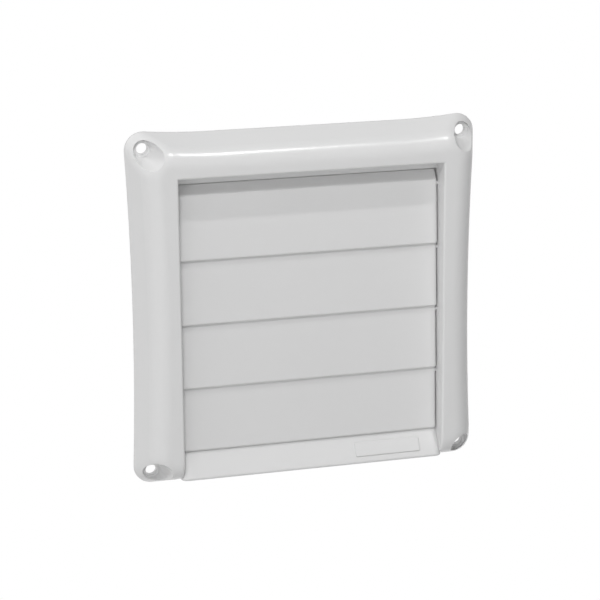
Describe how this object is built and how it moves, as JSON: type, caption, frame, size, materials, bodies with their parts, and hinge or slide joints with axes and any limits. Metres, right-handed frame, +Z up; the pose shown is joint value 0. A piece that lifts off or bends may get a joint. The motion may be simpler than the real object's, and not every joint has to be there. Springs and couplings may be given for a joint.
{
  "type": "louvered vent cap",
  "caption": "Square moulded wall cap for a round duct, with gravity louvers hinged in a framed opening above a sloped sill, screw holes in its corners and a round collar behind.",
  "frame": {"origin": "middle of the four screw holes, in the wall plane that the face plate's rim rests on", "axes": "+X to the right seen from the front, +Y into the wall along the duct collar, +Z up"},
  "size_m": [0.1516, 0.05, 0.1526],
  "materials": {
    "white_moulding": "satin",
    "white_louver": "satin"
  },
  "bodies": {
    "housing": {"housing": "white_moulding"},
    "louver_1": {"louver_1": "white_louver"},
    "louver_2": {"louver_2": "white_louver"},
    "louver_3": {"louver_3": "white_louver"},
    "louver_4": {"louver_4": "white_louver"}
  },
  "joints": [
    {"name": "louver_1_hinge", "type": "hinge", "parent": "housing", "child": "louver_1", "pos_m": [0, -0.0085, 0.0485], "axis": [-1, 0, 0], "range_deg": [0, 75]},
    {"name": "louver_2_hinge", "type": "hinge", "parent": "housing", "child": "louver_2", "pos_m": [0, -0.0085, 0.02085], "axis": [-1, 0, 0], "range_deg": [0, 75]},
    {"name": "louver_3_hinge", "type": "hinge", "parent": "housing", "child": "louver_3", "pos_m": [0, -0.0085, -0.0068], "axis": [-1, 0, 0], "range_deg": [0, 75]},
    {"name": "louver_4_hinge", "type": "hinge", "parent": "housing", "child": "louver_4", "pos_m": [0, -0.0085, -0.03445], "axis": [-1, 0, 0], "range_deg": [0, 75]}
  ]
}
